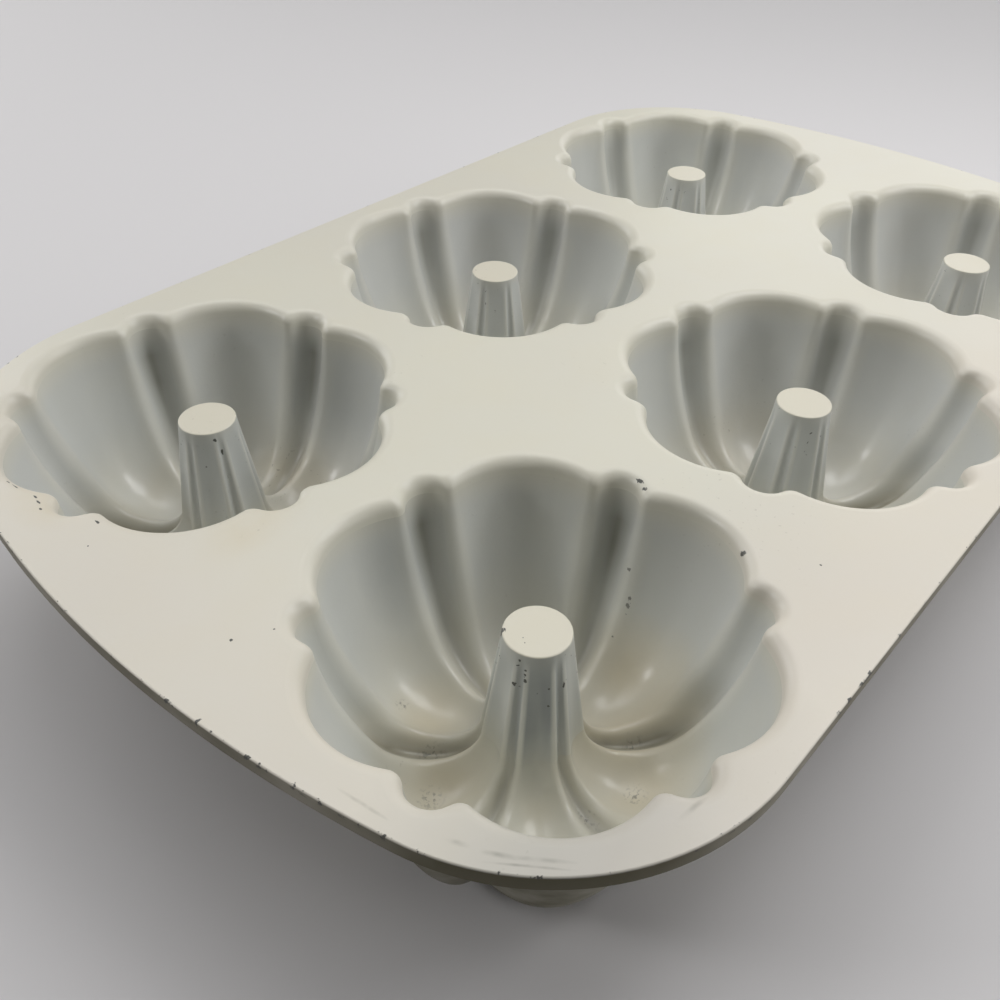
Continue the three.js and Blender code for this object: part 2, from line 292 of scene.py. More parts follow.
def cup_tree():
    """Geometry nodes for one cup at the origin: a grid of stations along the section and places round it."""
    tree = bpy.data.node_groups.new("fluted_cup", "GeometryNodeTree")
    tree.interface.new_socket("Geometry", in_out="OUTPUT", socket_type="NodeSocketGeometry")
    for name, value in CUP_SIZES.items():
        socket = tree.interface.new_socket(name, in_out="INPUT", socket_type="NodeSocketFloat")
        socket.default_value = value
    tree.interface.new_socket("Coat", in_out="INPUT", socket_type="NodeSocketMaterial")
    given = tree.nodes.new("NodeGroupInput")
    size = {name: Field(tree, given.outputs[name]) for name in CUP_SIZES}

    rows = 2 * ALONG
    grid = add_node(tree, "GeometryNodeMeshGrid", {
        "Size X": 1, "Size Y": 1, "Vertices X": AROUND + 1, "Vertices Y": rows + 1,
    })
    at = add_node(tree, "ShaderNodeSeparateXYZ", {0: add_node(tree, "GeometryNodeInputPosition").outputs[0]})
    around = Field(tree, at.outputs["X"]) + 0.5
    row = calc("ROUND", (Field(tree, at.outputs["Y"]) + 0.5) * rows)
    past_collar = calc("GREATER_THAN", row, ALONG - 0.5)
    before_rim = calc("LESS_THAN", row, rows - 0.5)
    outside = past_collar * before_rim
    station = choose(outside, rows - 1 - row, calc("MODULO", row, rows))

    along = station / (ALONG - 1)
    at_rim = cup_plan(size, around)
    at_floor = cup_plan({**size, "Ridge Round": size["Floor Ridge Round"]}, around)
    sunken = ramp(along, 0, WALL_SHARE, kind="SMOOTHSTEP")
    blended = [rim + (floor - rim) * sunken for rim, floor in zip(at_rim[:4], at_floor[:4])]
    turn, relief, outer_relief, flute = blended
    radius, height, way, sink = cup_section(size, *at_rim[4:], along)
    below = -size["Deck Thickness"] - height
    root_rise = calc("MAXIMUM", size["Root Round"] - below, 0)
    root_chord = calc("SQRT", size["Root Round"] * size["Root Round"] - root_rise * root_rise)
    root = size["Root Round"] - root_chord
    behind = size["Wall"] + root
    sunk = sink * choose(outside, outer_relief, relief) + outside * behind
    reach = radius + calc("COSINE", way) * sunk
    level = size["Deck Top"] + height + calc("SINE", way) * sunk
    level = calc("MAXIMUM", level, 0)
    place = add_node(tree, "ShaderNodeCombineXYZ", {
        "X": reach * calc("COSINE", turn), "Y": reach * calc("SINE", turn), "Z": level,
    })
    made = grid.outputs["Mesh"]
    facing = calc("ABSOLUTE", calc("COSINE", turn - FRONT_PETAL))
    over_floor = ramp(along, *FLOOR_START) * ramp(along, *FLOOR_END, 1, 0)
    stored = {
        "row": calc("MODULO", row, rows),
        "relief": choose(outside, outer_relief, relief),
        "inside": 1 - outside,
        # The flute value weights painted shade: full on flutes along the line of view, a quarter on flutes at
        # the sides.
        "flute": flute * ramp(facing, *FACING_SPAN, SIDE_FLUTE_SHADE, 1),
        "stem": ramp(along, WALL_SHARE + FLOOR_SHARE, 1) * (1 - outside),
        # Painted shade with tan soil where the side flutes run over the floor.
        "gully_shade_and_soil": flute * ramp(facing, *FACING_SPAN, 1, 0) * over_floor * (1 - outside),
    }
    steps = [("StoreNamedAttribute", {"Name": name, "Value": field}) for name, field in stored.items()]
    steps += [
        ("SetPosition", {"Position": place.outputs[0]}),
        ("MergeByDistance", {"Distance": MERGE_DISTANCE}),
        ("RealizeInstances", {}),
        ("SetMaterial", {"Material": given.outputs["Coat"]}),
    ]
    for step, settings in steps:
        made = add_node(tree, "GeometryNode" + step, {"Geometry": made, **settings}).outputs[0]
    add_node(tree, "NodeGroupOutput", {"Geometry": made})
    return tree


def new_group(name, inputs, outputs):
    """An empty shader group with named sockets; returns it with its inputs as sockets."""
    group = bpy.data.node_groups.new(name, "ShaderNodeTree")
    for side, sockets in (("INPUT", inputs), ("OUTPUT", outputs)):
        for socket, kind in sockets.items():
            group.interface.new_socket(socket, in_out=side, socket_type="NodeSocket" + kind)
    given = group.nodes.new("NodeGroupInput")
    return group, {socket: given.outputs[socket] for socket in inputs}


def object_place(tree):
    """Where a point is on the pan: its coordinates as a vector, and its height as a field."""
    place = add_node(tree, "ShaderNodeTexCoord").outputs["Object"]
    height = add_node(tree, "ShaderNodeSeparateXYZ", {0: place}).outputs["Z"]
    return place, Field(tree, height)


def noise(tree, place, scale, detail=2.0, roughness=0.5):
    """Cloudy pattern from 0 to 1, with about so many blotches a metre."""
    settings = {"Vector": place, "Scale": scale, "Detail": detail, "Roughness": roughness}
    return Field(tree, add_node(tree, "ShaderNodeTexNoise", settings).outputs[0])


def mix(tree, share, under, over, mode="MIX"):
    """One colour laid over another."""
    colours = {0: share, 6: under, 7: over}
    return add_node(tree, "ShaderNodeMix", colours, data_type="RGBA", blend_type=mode).outputs[2]


def attribute(tree, name):
    """A value stored on the piece's mesh."""
    return Field(tree, add_node(tree, "ShaderNodeAttribute", attribute_name=name).outputs["Fac"])


DRIFT_TINT = (0.955, 0.945, 0.975, 1)
CLOUD_TINT = (1.0, 0.975, 0.91, 1)
BLUSH_TINT = (1.03, 0.993, 1.005, 1)
# The rubbed, grimed and burnt colours stand for real wear and scorching and also for painted shade.
RUBBED_AND_SHADED = (0.17, 0.19, 0.2, 1)
SOILED = (0.66, 0.58, 0.41, 1)
GRIMED_AND_SHADED = (0.14, 0.14, 0.105, 1)
BURNT_AND_SHADED = (0.085, 0.076, 0.037, 1)
FLECKED = (0.14, 0.115, 0.08, 1)
BARE_METAL = (0.085, 0.085, 0.075, 1)
DRIFTS, PATCHES, CLOUDS, GRAINS = 11, 26, 60, 900
SATIN = 0.32


def baked_coat_group():
    """Cream baked coat whose tone drifts over the casting: cooler in the cups, rubbed, soiled and chipped,
    with painted shade carried in its rub, grime and burn layers.
    """
    masks = ("Coolness", "Blush", "Rub", "Soil", "Grime", "Burn", "Bare")
    inputs = {"Cream": "Color", "Cool": "Color", "Gloss": "Float", **{mask: "Float" for mask in masks}}
    outputs = {"Color": "Color", "Roughness": "Float", "Gloss": "Float", "Height": "Float"}
    group, given = new_group("baked_coat", inputs, outputs)
    place, _ = object_place(group)
    coolness, blush, rub_and_shade, soil, grime_and_shade, burn_and_shade, bare = (Field(group, given[mask]) for mask in masks)
    drift = ramp(noise(group, place, DRIFTS, 1.5), 0.38, 0.66)
    cloud = noise(group, place, CLOUDS, 3)
    grain = noise(group, place, GRAINS, 3)
    colour = mix(group, coolness, given["Cream"], given["Cool"])
    colour = mix(group, drift * 0.6, colour, DRIFT_TINT, "MULTIPLY")
    colour = mix(group, ramp(cloud, 0.4, 0.7) * 0.25, colour, CLOUD_TINT, "MULTIPLY")
    colour = mix(group, blush, colour, BLUSH_TINT, "MULTIPLY")
    for share, over in ((rub_and_shade, RUBBED_AND_SHADED), (soil, SOILED), (grime_and_shade, GRIMED_AND_SHADED), (burn_and_shade, BURNT_AND_SHADED)):
        colour = mix(group, share, colour, over)
    patch = ramp(noise(group, place, PATCHES, 2), 0.55, 0.68) * (0.2 + soil)
    flecks = ramp(noise(group, place, GRAINS, 1.5), 0.69, 0.73) * calc("MINIMUM", patch, 1)
    colour = mix(group, flecks * 0.75, colour, FLECKED)
    colour = mix(group, bare, colour, BARE_METAL)
    roughness = SATIN + cloud * 0.1 + soil * 0.06 + grime_and_shade * 0.12 + burn_and_shade * 0.4 + bare * 0.1
    gloss = Field(group, given["Gloss"]) * (1 - calc("MAXIMUM", burn_and_shade, soil * 0.3)) * (0.85 + cloud * 0.3)
    height = grain * 0.35 + cloud * 0.5 - bare * 0.5 - flecks * 0.3
    made = {"Color": colour, "Roughness": roughness, "Gloss": gloss, "Height": height}
    add_node(group, "NodeGroupOutput", made)
    return group


def mark_group():
    """One mark: 1 inside its reach along each axis, with an edge that is more or less soft and frayed."""
    numbers = ("Turn", "Soft", "Fray", "Grain")
    inputs = {"Centre": "Vector", "Reach": "Vector", **{number: "Float" for number in numbers}}
    group, given = new_group("mark", inputs, {"Mask": "Float"})
    place, _ = object_place(group)

    def vectors(operation, *values):
        return add_node(group, "ShaderNodeVectorMath", dict(enumerate(values)), operation=operation).outputs

    away = vectors("SUBTRACT", place, given["Centre"])[0]
    turned = add_node(
        group, "ShaderNodeVectorRotate", {"Vector": away, "Angle": given["Turn"]}, rotation_type="Z_AXIS"
    ).outputs[0]
    scaled = vectors("DIVIDE", turned, given["Reach"])[0]
    distance = Field(group, vectors("LENGTH", scaled)["Value"])
    frayed = distance + (noise(group, place, given["Grain"], 3) - 0.5) * Field(group, given["Fray"])
    soft = Field(group, given["Soft"])
    add_node(group, "NodeGroupOutput", {"Mask": ramp(frayed, 1 + soft, 1 - soft)})
    return group


BAKED_COAT = baked_coat_group()
MARK = mark_group()
CREAM = (0.7, 0.68, 0.58, 1)
COOL = (0.605, 0.617, 0.585, 1)
CLEAR_ROUGHNESS = 0.2
BUMP_STRENGTH, BUMP_DISTANCE = 0.12, 0.4 * MM
PIT = {"Soft": 0.12, "Fray": 1.8, "Grain": 1900}
STAIN = {"Soft": 0.75, "Fray": 0.8, "Grain": 45}
SCUFF = {"Soft": 0.7, "Fray": 1, "Grain": 220}
CHAFE = {"Soft": 0.15, "Fray": 3, "Grain": 1500}


def marks(tree, spots, look):
    """All marks of one look on a piece, as a mask. A spot is its centre and its reach, in millimetres,
    and for a streak the angle that its reach is turned by, in degrees from +X."""
    mask = None
    for centre, reach, *turn in spots:
        reach = reach if isinstance(reach, tuple) else (reach,) * 3
        node = tree.nodes.new("ShaderNodeGroup")
        node.node_tree = MARK
        node.inputs["Centre"].default_value = [x * MM for x in centre]
        node.inputs["Reach"].default_value = [x * MM for x in reach]
        node.inputs["Turn"].default_value = -math.radians(sum(turn))
        for name, value in look.items():
            node.inputs[name].default_value = value
        spot = Field(tree, node.outputs["Mask"])
        mask = spot if mask is None else calc("MAXIMUM", mask, spot)
    return mask


def coat_material(name, gloss):
    """An unfinished coat: its tree, and a function that takes the masks and finishes it."""
    material = bpy.data.materials.new(name)
    material.use_nodes = True
    tree = material.node_tree
    shader = tree.nodes["Principled BSDF"]
    shader.inputs["Coat Roughness"].default_value = CLEAR_ROUGHNESS

    def finish(**masks):
        coat = tree.nodes.new("ShaderNodeGroup")
        coat.node_tree = BAKED_COAT
        coat.inputs["Cream"].default_value = CREAM
        coat.inputs["Cool"].default_value = COOL
        coat.inputs["Gloss"].default_value = gloss
        for mask, value in masks.items():
            tree.links.new(value.socket, coat.inputs[mask])
        bump = add_node(tree, "ShaderNodeBump", {
            "Height": coat.outputs["Height"], "Strength": BUMP_STRENGTH, "Distance": BUMP_DISTANCE,
        })
        tree.links.new(coat.outputs["Color"], shader.inputs["Base Color"])
        tree.links.new(coat.outputs["Roughness"], shader.inputs["Roughness"])
        tree.links.new(coat.outputs["Gloss"], shader.inputs["Coat Weight"])
        tree.links.new(bump.outputs[0], shader.inputs["Normal"])
        return material

    return tree, finish


COOL_DEPTHS = (DECK_TOP - 0.5 * MM, DECK_TOP - 11 * MM)
WARM_FLOOR = (3 * MM, 24 * MM)
FLOOR_COOLNESS = 0.35


def coolness_below_deck(height):
    """The coat turns from cream to a cooler grey down the lip and wall, and back a little on the floor."""
    down = ramp(height, *COOL_DEPTHS, kind="SMOOTHSTEP")
    return down * ramp(height, *WARM_FLOOR, FLOOR_COOLNESS, 1)


DISC_EDGE = (TUBE_TOP - 1.5 * MM, TUBE_TOP - 5 * MM)
# Painted highlight with wear: ridge crests are kept lighter.
CREST_HIGHLIGHT_RELIEF = (0.35, 0.02)
STREAK_STRETCH = (1, 1, 0.12)
RUB_AND_SHADE_HEIGHTS = (8 * MM, 26 * MM)
TUBE_SHADE_COLUMNS = (-80 * MM, 100 * MM)
SOILED_HEIGHTS = (18 * MM, 4 * MM)
FLUTE_SHADE_DEPTHS = (DECK_TOP - 2 * MM, DECK_TOP - 12 * MM)
FLUTE_SHADE_HEIGHTS = (10 * MM, 30 * MM)
FLUTE_SHADE_COLUMNS = (-50 * MM, 110 * MM)
# Painted shade on the camera side of the front tube.
TUBE_SHADE_MARKS = [((-120, -64, 30), (7, 7, 16))]


def cup_wear(tree, place, height):
    """Rubbing, soil and painted shade that run on from cup to tube: tube sides rubbed with painted shade,
    floors tan, flutes darkened with painted shade, ridge crests lightened as a painted highlight.
    """
    below_disc = ramp(height, *DISC_EDGE)
    # Painted highlight with wear: crests of the ridges are kept lighter, less rubbed and less cool.
    crest = ramp(attribute(tree, "relief"), *CREST_HIGHLIGHT_RELIEF) * below_disc
    streaks = add_node(tree, "ShaderNodeMapping", {"Vector": place, "Scale": STREAK_STRETCH}).outputs[0]
    streaked = ramp(noise(tree, streaks, 160, 2), 0.3, 0.65, 0.7, 1)
    column = Field(tree, add_node(tree, "ShaderNodeSeparateXYZ", {0: place}).outputs["X"])
    # Rubbing with painted shade: growing up the tube, stronger in the near cups, less on the crests.
    dull_and_shade = ramp(height, *RUB_AND_SHADE_HEIGHTS) * (0.36 - crest * 0.14) * ramp(column, *TUBE_SHADE_COLUMNS, 1, 0.35)
    rub_and_shade = calc("MAXIMUM", dull_and_shade, marks(tree, TUBE_SHADE_MARKS, STAIN) * (1 - crest * 0.8))
    rub_and_shade = rub_and_shade * attribute(tree, "stem") * streaked
    soil = ramp(noise(tree, place, 30, 2), 0.45, 0.7) * ramp(height, *SOILED_HEIGHTS) * 0.4
    # Painted shade in the flutes, starting below the lip, weaker low down and in the far cups.
    flute_shade = ramp(attribute(tree, "flute"), 0.3, 0.95) * ramp(height, *FLUTE_SHADE_DEPTHS)
    flute_shade = flute_shade * ramp(height, *FLUTE_SHADE_HEIGHTS, 0.5, 1) * ramp(column, *FLUTE_SHADE_COLUMNS, 1, 0.5)
    on_wall = 1 - attribute(tree, "stem") * 0.75
    grime_and_shade = flute_shade * on_wall * ramp(noise(tree, place, 45, 2), 0.25, 0.7, 0.63, 0.92)
    return crest, rub_and_shade, soil, grime_and_shade


CUP_GLOSS = 0.5
# Painted shadow under the deck: the cups' outside gets darker higher up.
UNDER_DECK_SHADE_HEIGHTS = (1 * MM, 16 * MM)
CUP_STAINS = [
    ((-96, -71, 5), (18, 14, 14)),
    ((-83, -61, 6), (9, 9, 10)),
    ((-135, -48, 3), (12, 10, 8)),
    ((-106, -82, 4), (12, 9, 8)),
    ((-125, -33, 4), (12, 8, 6)),
]
# Painted shade on the walls and floors of the near cups, where less light reaches them.
CUP_SHADE_MARKS = [
    ((-112, -11.5, 33), (7, 7, 13)),
    ((-70, 56, 28), (7, 12, 13)),
    ((-98, -62.5, 7), (7, 6, 6)),
    ((-119, -43, 7), (6, 5, 6)),
    ((-123.5, -38, 5), (7, 7, 6)),
]
CUP_PITS = [
    ((-73, -51.6, 29.3), 0.5),
    ((-74.9, -54, 22.6), (0.4, 0.4, 0.6)),
    ((-75.4, -54.2, 20.6), (0.5, 0.5, 0.8)),
    ((-76.3, -54.4, 18.6), 0.3),
    ((-80, -53.8, 12.9), 0.2),
]
CUP_FLECKS = [
    ((-97.1, -73.6, 3.1), (2, 1.5, 2)),
    ((-130.7, -40, 3), (2.5, 2, 2)),
    ((-107.5, -81.1, 2.8), (2, 2, 2)),
    ((-138.5, -47.9, 2.9), (2.4, 2, 2)),
    ((-126.1, -26.5, 6), (1.5, 1.2, 2)),
    ((-119.4, -77.2, 2.9), (1.5, 2.5, 2)),
]


def cup_material():
    """The coat in the cups, with their stains, pits and flecks, and scorched on the outside, with painted
    shadow under the deck that darkens the outside higher up.
    """
    tree, finish = coat_material("cup_coat", CUP_GLOSS)
    place, height = object_place(tree)
    inside = attribute(tree, "inside")
    crest, rub_and_shade, soil, grime_and_shade = cup_wear(tree, place, height)
    soil = calc("MAXIMUM", soil, marks(tree, CUP_STAINS, STAIN) * 0.6)
    # Painted shade marks in the cups, laid in through the rub layer.
    rub_and_shade = calc("MAXIMUM", rub_and_shade, marks(tree, CUP_SHADE_MARKS, STAIN) * 0.3)
    # Painted shade with tan soil where the side flutes run over the floor; it feeds both grime and soil.
    gully_shade_and_soil = ramp(attribute(tree, "gully_shade_and_soil"), 0.1, 0.75) * ramp(noise(tree, place, 90, 2), 0.3, 0.7, 0.58, 0.83)
    grime_and_shade = calc("MAXIMUM", grime_and_shade, gully_shade_and_soil)
    soil = calc("MAXIMUM", soil, gully_shade_and_soil)
    # Painted highlight with wear: crests less cool, so lighter.
    coolness = coolness_below_deck(height) * (1 - crest * 0.3)
    # Scorching on the outside, with painted shadow under the deck, darker higher up.
    burn_and_shade = ramp(noise(tree, place, 110, 3), 0.3, 0.7, 0.7, 0.93) * ramp(height, *UNDER_DECK_SHADE_HEIGHTS, 0.75, 1)
    flecks = marks(tree, CUP_FLECKS, STAIN) * ramp(noise(tree, place, 1100, 3), 0.52, 0.64)
    bare = calc("MAXIMUM", marks(tree, CUP_PITS, CHAFE) * 0.75, flecks * 0.6)
    return finish(
        Coolness=coolness * inside, Rub=rub_and_shade * inside, Soil=soil * inside, Grime=grime_and_shade * inside,
        Burn=burn_and_shade * (1 - inside), Bare=bare,
    )


cup_coat = cup_material()


def show(name, mesh, coat_slot, *nodes):
    """A finished piece in place of the CAD nodes that it stands for."""
    piece = bpy.data.objects.new(name, mesh)
    bpy.context.scene.collection.objects.link(piece)
    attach(piece, "root")
    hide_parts(*nodes)


def cup_mesh(coat):
    """The cup's rule worked out into a plain mesh at the origin."""
    tree = cup_tree()
    blank = bpy.data.objects.new("cup_blank", bpy.data.meshes.new("cup_blank"))
    bpy.context.scene.collection.objects.link(blank)
    rule = blank.modifiers.new("fluted_cup", "NODES")
    rule.node_group = tree
    for item in tree.interface.items_tree:
        if item.in_out == "INPUT":
            rule[item.identifier] = coat if item.name == "Coat" else float(CUP_SIZES[item.name])
    graph = bpy.context.evaluated_depsgraph_get()
    mesh = bpy.data.meshes.new_from_object(blank.evaluated_get(graph))
    blank.modifiers.remove(rule)
    bpy.data.objects.remove(blank)
    return mesh


def soften(mesh, crease=math.radians(35)):
    """Smooth shading, with an edge kept wherever two faces meet more sharply than a crease."""
    mesh.shade_smooth()
    mesh.set_sharp_from_angle(angle=crease)


cup = cup_mesh(cup_coat)
soften(cup)
cup_labels = [node.removeprefix("fluted_cup_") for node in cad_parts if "fluted_cup_" in node]
cup_places = {}
for label in cup_labels:
    low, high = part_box("fluted_cup_" + label)
    cup_places[label] = Vector(((low.x + high.x) / 2, (low.y + high.y) / 2, 0))
    placed = cup.copy()
    placed.transform(Matrix.Translation(cup_places[label]))
    show("coated_cup_" + label, placed, "cup_coating", "fluted_cup_" + label)

cup_points = np.empty(3 * len(cup.vertices))
cup.vertices.foreach_get("co", cup_points)
cup_points = cup_points.reshape(-1, 3)
cup_rows = np.empty(len(cup.vertices))
cup.attributes["row"].data.foreach_get("value", cup_rows)
cup_flutes = np.empty(len(cup.vertices))
cup.attributes["flute"].data.foreach_get("value", cup_flutes)


def ring_order(row):
    """Which of the cup's points lie at one station, in order round the axis."""
    ring = np.flatnonzero(np.round(cup_rows) == row)
    return ring[np.argsort(np.arctan2(cup_points[ring, 1], cup_points[ring, 0]))]


def cup_ring(row):
    """The cup's points at one station, in order round the axis."""
    return cup_points[ring_order(row)]


# Centre tubes
# Tapered tubes cast on the collar in the middle of each cup, closed by a flat disc and hollow below.
# The cup's flutes run up their sides and fade out towards the top.
TUBE_TOP_SINK = 0.3 * MM
TUBE_ROWS = 26
TUBE_ROW_CROWDING = 0.8
DISC_EDGE_ROUND = 0.35 * MM
DISC_EDGE_STEPS = 4
DISC_SUPPORT = 1.2 * DISC_EDGE_ROUND
TUBE_FADE = 5 * MM
TUBE_GLOSS = 0.2
DISC_RIM = (TUBE_TOP - 0.1 * MM, TUBE_TOP - 0.3 * MM)
PITTED_HEIGHTS = (26 * MM, 38 * MM)
DISC_YELLOWING = 0.22
TUBE_PITS = [
    ((-121.3, -57.7, 42), 0.35),
    ((-121.3, -59.3, 40), 0.3),
    ((-121.4, -59.3, 38.8), 0.35),
    ((-121.6, -59.5, 37.3), (0.4, 0.4, 0.5)),
    ((-122.5, -57.4, 35.4), 0.5),
    ((-118.3, -63.3, 34.9), 0.25),
    ((-115.2, -64.8, 34.6), (0.25, 0.25, 0.7)),
    ((-118.7, -63.7, 30.1), 0.25),
    ((-118.9, -50.6, 43.2), (0.8, 0.8, 1.3)),
    ((-117.1, 49.2, 41.8), (0.4, 0.4, 0.5)),
    ((-116, 48.7, 37.6), (0.3, 0.3, 0.8)),
    ((-117.5, -55.2, 43.8), 0.14),
    ((-118.3, -56.4, 43.8), 0.12),
]


def tube_material():
    """The coat on the tubes: rubbed and pitted sides, with painted shade, under a clean, slightly yellow
    disc.
    """
    tree, finish = coat_material("tube_coat", TUBE_GLOSS)
    place, height = object_place(tree)
    side = ramp(height, *DISC_RIM) * attribute(tree, "stem")
    crest, rub_and_shade, soil, grime_and_shade = cup_wear(tree, place, height)
    # Painted highlight with wear: crests less cool, so lighter.
    coolness = coolness_below_deck(height) * (1 - crest * 0.3)
    pits = ramp(noise(tree, place, 700, 2), 0.71, 0.74) * ramp(height, *PITTED_HEIGHTS)
    bare = calc("MAXIMUM", marks(tree, TUBE_PITS, PIT), pits * side)
    yellowed = ramp(height, *reversed(DISC_RIM), 0, DISC_YELLOWING)
    return finish(
        Coolness=coolness * side, Rub=rub_and_shade * side, Soil=soil * side + yellowed, Grime=grime_and_shade * side, Bare=bare,
    )


tube_coat = tube_material()


def lofted_mesh(name, rings, coat):
    """Skin over rings of equal count, closed at both ends by a point in the middle."""
    count = len(rings[0])
    middles = [ring.mean(0, keepdims=True) for ring in (rings[0], rings[-1])]
    points = [*middles[0], *np.concatenate(rings), *middles[1]]
    last = len(points) - 1
    faces = []
    for i in range(count):
        j = (i + 1) % count
        faces.append((0, 1 + j, 1 + i))
        for k in range(len(rings) - 1):
            low, high = 1 + k * count, 1 + (k + 1) * count
            faces.append((low + i, low + j, high + j, high + i))
        faces.append((last - count + i, last - count + j, last))
    mesh = bpy.data.meshes.new(name)
    mesh.from_pydata([tuple(p) for p in points], [], faces)
    mesh.materials.append(coat)
    mesh.validate()
    return mesh


def store(mesh, name, values):
    """Keeps one value a point on a mesh, for its material to read."""
    layer = mesh.attributes.new(name, "FLOAT", "POINT")
    layer.data.foreach_set("value", np.ascontiguousarray(values, dtype=np.float32))


def tube_mesh():
    """A tube at the origin, carried up from the cup's collar."""
    foot, hollow_foot = cup_ring(ALONG - 1), cup_ring(ALONG)
    around = np.arctan2(foot[:, 1], foot[:, 0])
    circle = np.stack([np.cos(around), np.sin(around), np.zeros(len(around))], axis=1)
    foot_radius = np.hypot(foot[:, 0], foot[:, 1])
    relief = (foot_radius.max() - foot_radius) / CUP_SIZES["Foot Sink"]
    top_radius = CUP_SIZES["Tube Top Radius"] - TUBE_TOP_SINK * relief
    foot_z = foot[:, 2].mean()

    def level(radius, z):
        return circle * np.reshape(radius, (-1, 1)) + (0, 0, z)

    hollow_radius = np.hypot(hollow_foot[:, 0], hollow_foot[:, 1]) - foot_radius + top_radius
    hollow_top = TUBE_TOP - CUP_SIZES["Wall"]
    hollow = [level(0.5 * hollow_radius, hollow_top), level(hollow_radius, hollow_top), hollow_foot]
    rings = list(hollow)
    side_top = TUBE_TOP - DISC_EDGE_ROUND
    for share in np.linspace(0, 1, TUBE_ROWS) ** TUBE_ROW_CROWDING:
        height = foot_z + (side_top - foot_z) * share
        fade = min(1, (side_top - height) / TUBE_FADE)
        fade = fade * fade * (3 - 2 * fade)
        sunk = CUP_SIZES["Foot Sink"] + (TUBE_TOP_SINK - CUP_SIZES["Foot Sink"]) * share
        ridge = foot_radius.max() + (CUP_SIZES["Tube Top Radius"] - foot_radius.max()) * share
        rings.append(level(ridge - sunk * fade * relief, height))
    top_radius = np.full(len(relief), CUP_SIZES["Tube Top Radius"])
    for angle in np.linspace(0, QUARTER, DISC_EDGE_STEPS + 1)[1:]:
        drawn_in = DISC_EDGE_ROUND * (1 - math.cos(angle))
        rings.append(level(top_radius - drawn_in, TUBE_TOP - DISC_EDGE_ROUND * (1 - math.sin(angle))))
    rings.append(level(top_radius - DISC_SUPPORT, TUBE_TOP))
    mesh = lofted_mesh("centre_tube", rings, tube_coat)
    outside_rings = len(rings) - len(hollow)
    outside = np.repeat([0.0, 1.0], [1 + len(hollow) * len(foot), outside_rings * len(foot) + 1])
    flute = cup_flutes[ring_order(ALONG - 1)]
    store(mesh, "stem", outside)
    store(mesh, "relief", np.concatenate([[0], np.tile(relief, len(rings)), [0]]))
    store(mesh, "flute", np.concatenate([[0], np.tile(flute, len(rings)), [0]]))
    return mesh


tube = tube_mesh()
soften(tube)
for label, place in cup_places.items():
    placed = tube.copy()
    placed.transform(Matrix.Translation(place))
    show("coated_tube_" + label, placed, "tube_coating", "centre_tube_" + label)

# Deck plate
# One flat plate of the same casting joins the cups: straight long sides, round corners, bowed ends.
# Its fluted lips are rounded into the cups, and its outer edge is worn through the coat to dark metal.
END_BOW_RADIUS = 313 * MM
CORNER_RADIUS = 55.5 * MM
DECK_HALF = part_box("deck_plate")[1].xy
EDGE_ROUND = 0.4 * MM
EDGE_STEPS = 5
EDGE_BAND = 3 * MM
LIP_ROUND = 3.4 * MM
LIP_STEPS = 9
LIP_SUPPORT = 0.05 * MM
LIP_BLEND = 2.5 * MM
CORNER_POINTS, BOW_POINTS, SIDE_POINTS = 28, 24, 24
RIM_COVER = 2 * MM
SUPPORT_WEAR = 0.9
DECK_GLOSS = 0.05
EDGE_BELOW_TOP = (DECK_TOP - 0.1 * MM, DECK_TOP - 0.4 * MM)
CHIPPED_HEIGHTS = (DECK_TOP - 1.4 * MM, DECK_TOP - 0.7 * MM)
UNDERSIDE_HEIGHTS = (DECK_UNDERSIDE + 0.3 * MM, DECK_UNDERSIDE + 0.1 * MM)
BLUSHED_END = (-120 * MM, -160 * MM)
BLUSHED_SIDE = (-60 * MM, -100 * MM)
DECK_SCUFFS = [
    ((-163.2, -79.8, 49.8), (1.6, 0.4, 1), -65),
    ((-160.3, -86.3, 49.8), (2.2, 0.4, 1), -60),
    ((-156.5, -91.8, 49.8), (3.6, 0.35, 1), -54),
    ((-158.6, -91.2, 49.8), (5, 0.2, 1), -54),
    ((-168.6, -63, 49.8), (3.5, 0.3, 1), -82),
    ((-131.8, -104.8, 49.8), (2.4, 0.4, 1), -8),
]
DECK_CHIPS = [
    ((-64.9, -46.4, 49.6), (0.5, 1.2, 0.8)),
    ((-66.4, -48.4, 49.5), (0.5, 1.4, 0.9)),
    ((-69.4, -77.2, 48.6), (0.6, 1, 1.2)),
    ((-163.9, 49.2, 49.8), (0.22, 0.8, 0.5)),
    ((-163.4, 51.4, 49.8), (0.2, 0.6, 0.5)),
    ((-164.8, 46.6, 49.8), (0.25, 0.4, 0.4)),
    ((-164.4, 58.5, 49.6), (0.16, 1.2, 0.5)),
    ((-164.6, 61.6, 49.5), (0.16, 0.8, 0.5)),
    ((-160.6, -16.8, 49.8), 0.3),
    ((-153.1, -20.7, 49.8), 0.22),
    ((-164.4, 27.9, 49.8), 0.22),
    ((-158.8, 33.4, 49.8), (0.25, 0.7, 0.4)),
    ((-75.7, -84.3, 49.8), 0.3),
    ((-62.9, -92.5, 49.8), 0.25),
    ((-176.8, -28.2, 49.6), (0.9, 0.4, 0.6)),
    ((-178, -29.4, 47.6), (0.8, 0.25, 2.0)),
]
# Painted shade on the deck's near corner.
DECK_SHADE_MARKS = [((-152, -95, 49.8), (34, 20, 6))]
# Painted shade on the front corner of the edge band.
DECK_BAND_SHADE = [((-165, -92, 47), (75, 60, 40))]
DECK_STAINS = [
    ((-136, 8, 49.8), (10, 5, 4)),
    ((-164.5, 48, 49.8), (4, 7, 2)),
]


